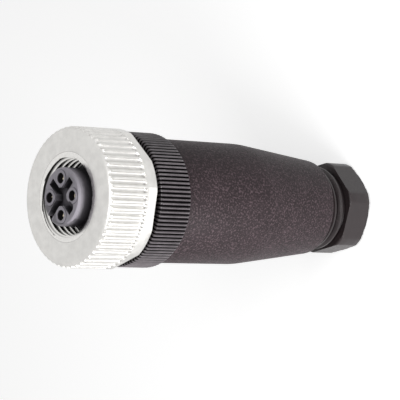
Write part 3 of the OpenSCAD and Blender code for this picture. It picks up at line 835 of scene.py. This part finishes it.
def land_outline(insert):
    """Tear-shaped land round one contact hole, pointed towards the plug axis."""
    reach, radius, tip = insert.circle_radius, insert.land_radius, 1.1
    lean = math.degrees(math.acos(radius / (reach - tip)))
    outline = [(tip, 0.0)]
    for k in range(25):
        a = math.radians(-(180 - lean) + k * (360 - 2 * lean) / 24)
        outline.append((reach + radius * math.cos(a), radius * math.sin(a)))
    return outline


def insert_mould(insert):
    """The insert as one moulding with its recess, lands, contact holes and keyway."""
    top = INSERT_Z1 - insert.land_height
    flange, stem, neck, collar, seat = 7.3, 5.45, 4.7, 5.2, 4.5
    spigot = HOUSING_Z1
    ring_low, ring_high = node_levels("snap_ring")
    neck_low, neck_high = ring_low - 0.05, ring_high + 1.25
    collar_top = neck_high + 0.8
    seat_top = collar_top + 1.2
    outline = [(0.0, INSERT_Z0), (6.1, INSERT_Z0), (6.1, spigot), (flange, spigot), (flange, spigot + 1.0)]
    outline += [(stem, spigot + 1.0), (stem, neck_low), (neck, neck_low), (neck, neck_high), (collar, neck_high)]
    outline += [(collar, collar_top), (seat, collar_top), (seat, seat_top), (insert.barrel_radius, seat_top)]
    outline += [(insert.barrel_radius, top - 0.25), (insert.barrel_radius - 0.25, top), (0.0, top)]
    piece = add_object("insert_mould", turned("insert_mould", outline, 128))
    quarter = [insert.turn + 90.0 * k for k in range(4)]
    lands = [prism("land", spun(land_outline(insert), a), top - 0.4, INSERT_Z1) for a in quarter]
    cut_away(piece, lands, "UNION")
    floor, over = top - insert.recess, INSERT_Z1 + 1.0
    insert_step = node_levels("socket_contact_1")[1] - 0.75
    cutters = [prism("core", circle(insert.core_radius), floor, over)]
    for a in quarter:
        cutters.append(prism("arm", spun(bar(0.2, insert.arm_reach, insert.arm_width), a + 45.0), floor + 0.003, over))
        hole = circle(insert.hole_radius, (insert.circle_radius, 0.0), 40)
        wide = circle(insert.hole_radius + 0.1, (insert.circle_radius, 0.0), 40)
        cutters.append(prism("hole", spun(hole, a), INSERT_Z0 - 1.0, over))
        cutters.append(prism("socket", spun(wide, a), INSERT_Z0 - 0.9, insert_step))
    fat = circle(0.8, (insert.arm_reach - 0.75, 0.25), 32)
    cutters.append(prism("pocket", spun(fat, insert.turn - 45.0), floor + 0.006, over))
    slot = bar(insert.arm_reach - 0.2, 8.0, insert.keyway)
    cutters.append(prism("keyway", spun(slot, insert.turn + 225.0), seat_top, over))
    cut_away(piece, cutters)
    edge = piece.modifiers.new("edge", "BEVEL")
    edge.width = 0.045
    edge.segments = 2
    edge.limit_method = "ANGLE"
    edge.angle_limit = math.radians(38)
    apply_modifiers(piece)
    mesh = piece.data
    bpy.data.objects.remove(piece)
    return mesh


def o_ring(node):
    """A round ring in the box of a CAD node."""
    low, high = node_levels(node)
    section = (high - low) / 2
    centre = node_radius(node) - section
    outline = [
        (centre + section * math.cos(TURN * k / 20), low + section + section * math.sin(TURN * k / 20))
        for k in range(20)
    ]
    return turned(node, outline, 160)


def cable_bush():
    """The cable seal: a bush with soft edges and two shallow waists in its bore."""
    low, high = node_levels("cable_seal")
    out, bore = node_radius("cable_seal"), 3.0
    outline = [(bore + 0.5, low), (out - 0.5, low), (out, low + 0.5), (out, high - 0.5), (out - 0.5, high)]
    outline += [(bore + 0.5, high), (bore, high - 0.5)]
    for share in (0.7, 0.5, 0.3):
        level = low + share * (high - low)
        outline += [(bore, level + 0.6), (bore + 0.25, level), (bore, level - 0.6)]
    outline += [(bore, low + 0.5)]
    return turned("cable_bush", rounded(outline, 0.2), 128)


# Operators --------------------------------------------------------------------------------


class CONNECTOR_OT_coupling_nut(Operator):
    """Makes the plated coupling nut and its thread"""

    bl_idname = "connector.coupling_nut"
    bl_label = "Coupling nut"

    def execute(self, context):
        nut = context.scene.connector_nut
        satin = plated_metal("satin_nickel", nut.colour, 0.36, 0.6)
        cut = thread_metal("cut_nickel", nut)
        finish_piece("nut_shell", nut_shell(nut), "coupling_nut", satin, ["coupling_nut"])
        finish_piece("nut_thread", nut_thread(nut), "coupling_nut", cut)
        return {"FINISHED"}


class CONNECTOR_OT_contact_insert(Operator):
    """Makes the insert with its mating face"""

    bl_idname = "connector.contact_insert"
    bl_label = "Contact insert"

    def execute(self, context):
        insert = context.scene.connector_insert
        # Painted shade on the insert: darkest from 2.4 mm below its face, recesses darkened to 0.1 of its colour;
        # painted edge highlight at twice its colour.
        fade = (INSERT_Z1 - 2.4, INSERT_Z1 - insert.land_height - 0.3)
        plastic = smooth_plastic("insert_grey", insert.colour, 0.42, 2.0, 2.0, 0.1, fade)
        finish_piece("insert_mould", insert_mould(insert), "carrier", plastic, ["contact_insert"])
        return {"FINISHED"}


class CONNECTOR_OT_contacts(Operator):
    """Dresses the four contacts, the terminal block and its screws"""

    bl_idname = "connector.contacts"
    bl_label = "Contacts and terminals"

    def execute(self, context):
        gilt = bright_metal("contact_gilt", (0.70, 0.62, 0.48), 0.25)
        for number in range(1, 5):
            dress_node(f"socket_contact_{number}", gilt)
        steel = bright_metal("bright_steel", (0.66, 0.66, 0.64), 0.28)
        dress_node("terminal_screws", steel)
        dress_node("snap_ring", steel)
        dress_node("terminal_block", smooth_plastic("block_black", (0.05, 0.047, 0.048), 0.45))
        return {"FINISHED"}


class CONNECTOR_OT_grip_ring(Operator):
    """Makes the ribbed grip ring"""

    bl_idname = "connector.grip_ring"
    bl_label = "Grip ring"

    def execute(self, context):
        grip = context.scene.connector_grip
        plastic = ribbed_plastic("ring_black", grip)
        finish_piece("grip_body", grip_body(grip), "grip_ring", plastic, ["grip_ring"])
        return {"FINISHED"}


class CONNECTOR_OT_housing(Operator):
    """Makes the grained, tapered housing"""

    bl_idname = "connector.housing"
    bl_label = "Housing"

    def execute(self, context):
        housing = context.scene.connector_housing
        plastic = grained_plastic("housing_black", housing.colour)
        finish_piece("housing_shell", housing_shell(housing), "housing", plastic, ["housing"])
        return {"FINISHED"}


class CONNECTOR_OT_gland(Operator):
    """Makes the gland screw and dresses its washers"""

    bl_idname = "connector.gland"
    bl_label = "Gland"

    def execute(self, context):
        gland = context.scene.connector_gland
        plastic = smooth_plastic("gland_black", gland.colour, 0.38, 1.8)
        finish_piece("gland_body", gland_body(gland), "gland_screw", plastic, ["gland_screw"])
        brass = bright_metal("washer_brass", (0.78, 0.62, 0.33), 0.3)
        dress_node("seat_washer", brass)
        dress_node("thrust_washer", brass)
        return {"FINISHED"}


class CONNECTOR_OT_seals(Operator):
    """Makes the O-rings and the cable seal"""

    bl_idname = "connector.seals"
    bl_label = "Seals"

    def execute(self, context):
        rubber = seal_rubber("nitrile_black")
        finish_piece("face_ring", o_ring("face_seal"), "carrier", rubber, ["face_seal"])
        finish_piece("housing_ring", o_ring("housing_seal"), "carrier", rubber, ["housing_seal"])
        bush = finish_piece("cable_bush", cable_bush(), "housing", rubber, ["cable_seal"])
        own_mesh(bush)
        return {"FINISHED"}


def seen_rays(tree):
    """A value that is 1 for rays from the camera and through glass or off gloss, else 0."""
    path = tree.nodes.new("ShaderNodeLightPath")
    first = tree.nodes.new("ShaderNodeMath")
    first.operation = "MAXIMUM"
    tree.links.new(path.outputs["Is Camera Ray"], first.inputs[0])
    tree.links.new(path.outputs["Is Glossy Ray"], first.inputs[1])
    both = tree.nodes.new("ShaderNodeMath")
    both.operation = "MAXIMUM"
    tree.links.new(first.outputs[0], both.inputs[0])
    tree.links.new(path.outputs["Is Transmission Ray"], both.inputs[1])
    return both.outputs[0]


def white_world(context, strength):
    """White for the camera and reflections, softer as light."""
    world = bpy.data.worlds.new("studio")
    context.scene.world = world
    world.use_nodes = True
    tree = world.node_tree
    tree.nodes.clear()
    shown, lit, mix, out = (
        tree.nodes.new(kind)
        for kind in ("ShaderNodeBackground", "ShaderNodeBackground", "ShaderNodeMixShader", "ShaderNodeOutputWorld")
    )
    shown.inputs["Color"].default_value = (1.0, 1.0, 1.0, 1.0)
    lit.inputs["Color"].default_value = (1.0, 1.0, 1.0, 1.0)
    lit.inputs["Strength"].default_value = strength
    tree.links.new(seen_rays(tree), mix.inputs["Fac"])
    tree.links.new(lit.outputs[0], mix.inputs[1])
    tree.links.new(shown.outputs[0], mix.inputs[2])
    tree.links.new(mix.outputs[0], out.inputs["Surface"])


def pale_floor(colour):
    """A wide floor that shows white and keeps the object's shadow."""
    form = bmesh.new()
    bmesh.ops.create_circle(form, cap_ends=True, segments=96, radius=1.5)
    mesh = bpy.data.meshes.new("floor")
    form.to_mesh(mesh)
    form.free()
    floor = add_object("floor", mesh)
    floor.location.z = -0.00002
    material = bpy.data.materials.new("pale_floor")
    material.use_nodes = True
    tree = material.node_tree
    tree.nodes.clear()
    diffuse, glow, both, mix, out = (
        tree.nodes.new(kind)
        for kind in (
            "ShaderNodeBsdfDiffuse", "ShaderNodeEmission", "ShaderNodeAddShader", "ShaderNodeMixShader",
            "ShaderNodeOutputMaterial",
        )
    )
    diffuse.inputs["Color"].default_value = (*colour, 1.0)
    glow.inputs["Strength"].default_value = 0.66
    tree.links.new(diffuse.outputs[0], both.inputs[0])
    tree.links.new(glow.outputs[0], both.inputs[1])
    tree.links.new(seen_rays(tree), mix.inputs["Fac"])
    tree.links.new(diffuse.outputs[0], mix.inputs[1])
    tree.links.new(both.outputs[0], mix.inputs[2])
    tree.links.new(mix.outputs[0], out.inputs["Surface"])
    mesh.materials.append(material)


def soft_lamp(name, place, target, width, height, power):
    """A rectangular lamp that faces a target."""
    data = bpy.data.lights.new(name, "AREA")
    data.shape = "RECTANGLE"
    data.size, data.size_y = width, height
    data.energy = power
    lamp = bpy.data.objects.new(name, data)
    bpy.context.scene.collection.objects.link(lamp)
    lamp.location = place
    lamp.rotation_euler = (Vector(target) - Vector(place)).to_track_quat("-Z", "Y").to_euler()


class CONNECTOR_OT_stage(Operator):
    """Makes the camera, the lamps, the world and the floor"""

    bl_idname = "connector.stage"
    bl_label = "Stage"

    def execute(self, context):
        stage = context.scene.connector_stage
        data = bpy.data.cameras.new("camera")
        data.lens = stage.lens
        data.sensor_width = 36.0
        data.clip_start, data.clip_end = 0.01, 10.0
        camera = bpy.data.objects.new("camera", data)
        context.scene.collection.objects.link(camera)
        place, aim = Vector(stage.camera_place), Vector(stage.camera_aim)
        back = (place - aim).normalized()
        right = Vector(stage.camera_up).cross(back).normalized()
        up = back.cross(right)
        turn = Matrix((right, up, back)).transposed().to_4x4()
        camera.matrix_world = Matrix.Translation(place) @ turn
        context.scene.camera = camera
        middle = (0.0, 0.0, 0.028)
        soft_lamp("key", (0.175, -0.125, 0.035), (0.0, 0.0, 0.012), 0.10, 0.05, 0.60)
        soft_lamp("top", (0.10, 0.0, 0.25), middle, 0.10, 0.10, 0.20)
        soft_lamp("side", (0.03, 0.22, 0.08), middle, 0.06, 0.20, 0.06)
        white_world(context, stage.ambient)
        pale_floor(stage.floor)
        context.scene.view_settings.view_transform = "Standard"
        return {"FINISHED"}


class CONNECTOR_PT_panel(Panel):
    """Lists the steps that dress the connector"""

    bl_idname = "CONNECTOR_PT_panel"
    bl_label = "Connector"
    bl_space_type = "VIEW_3D"
    bl_region_type = "UI"
    bl_category = "Connector"

    def draw(self, context):
        for operator in OPERATORS:
            self.layout.operator(operator.bl_idname)


SETTINGS = {
    "connector_nut": NutSettings,
    "connector_insert": InsertSettings,
    "connector_grip": GripSettings,
    "connector_housing": HousingSettings,
    "connector_gland": GlandSettings,
    "connector_stage": StageSettings,
}
OPERATORS = (
    CONNECTOR_OT_stage,
    CONNECTOR_OT_coupling_nut,
    CONNECTOR_OT_contact_insert,
    CONNECTOR_OT_contacts,
    CONNECTOR_OT_grip_ring,
    CONNECTOR_OT_housing,
    CONNECTOR_OT_gland,
    CONNECTOR_OT_seals,
)


def register():
    """Makes the settings, the operators and the panel known to Blender."""
    for name, group in SETTINGS.items():
        bpy.utils.register_class(group)
        setattr(bpy.types.Scene, name, PointerProperty(type=group))
    for item in (*OPERATORS, CONNECTOR_PT_panel):
        bpy.utils.register_class(item)


def unregister():
    """Takes them away again."""
    for item in (CONNECTOR_PT_panel, *reversed(OPERATORS)):
        bpy.utils.unregister_class(item)
    for name, group in SETTINGS.items():
        delattr(bpy.types.Scene, name)
        bpy.utils.unregister_class(group)


def main():
    """Dresses the connector."""
    register()
    bpy.ops.connector.stage()
    bpy.ops.connector.coupling_nut()
    bpy.ops.connector.contact_insert()
    bpy.ops.connector.contacts()
    bpy.ops.connector.grip_ring()
    bpy.ops.connector.housing()
    bpy.ops.connector.gland()
    bpy.ops.connector.seals()


if __name__ == "__main__":
    main()
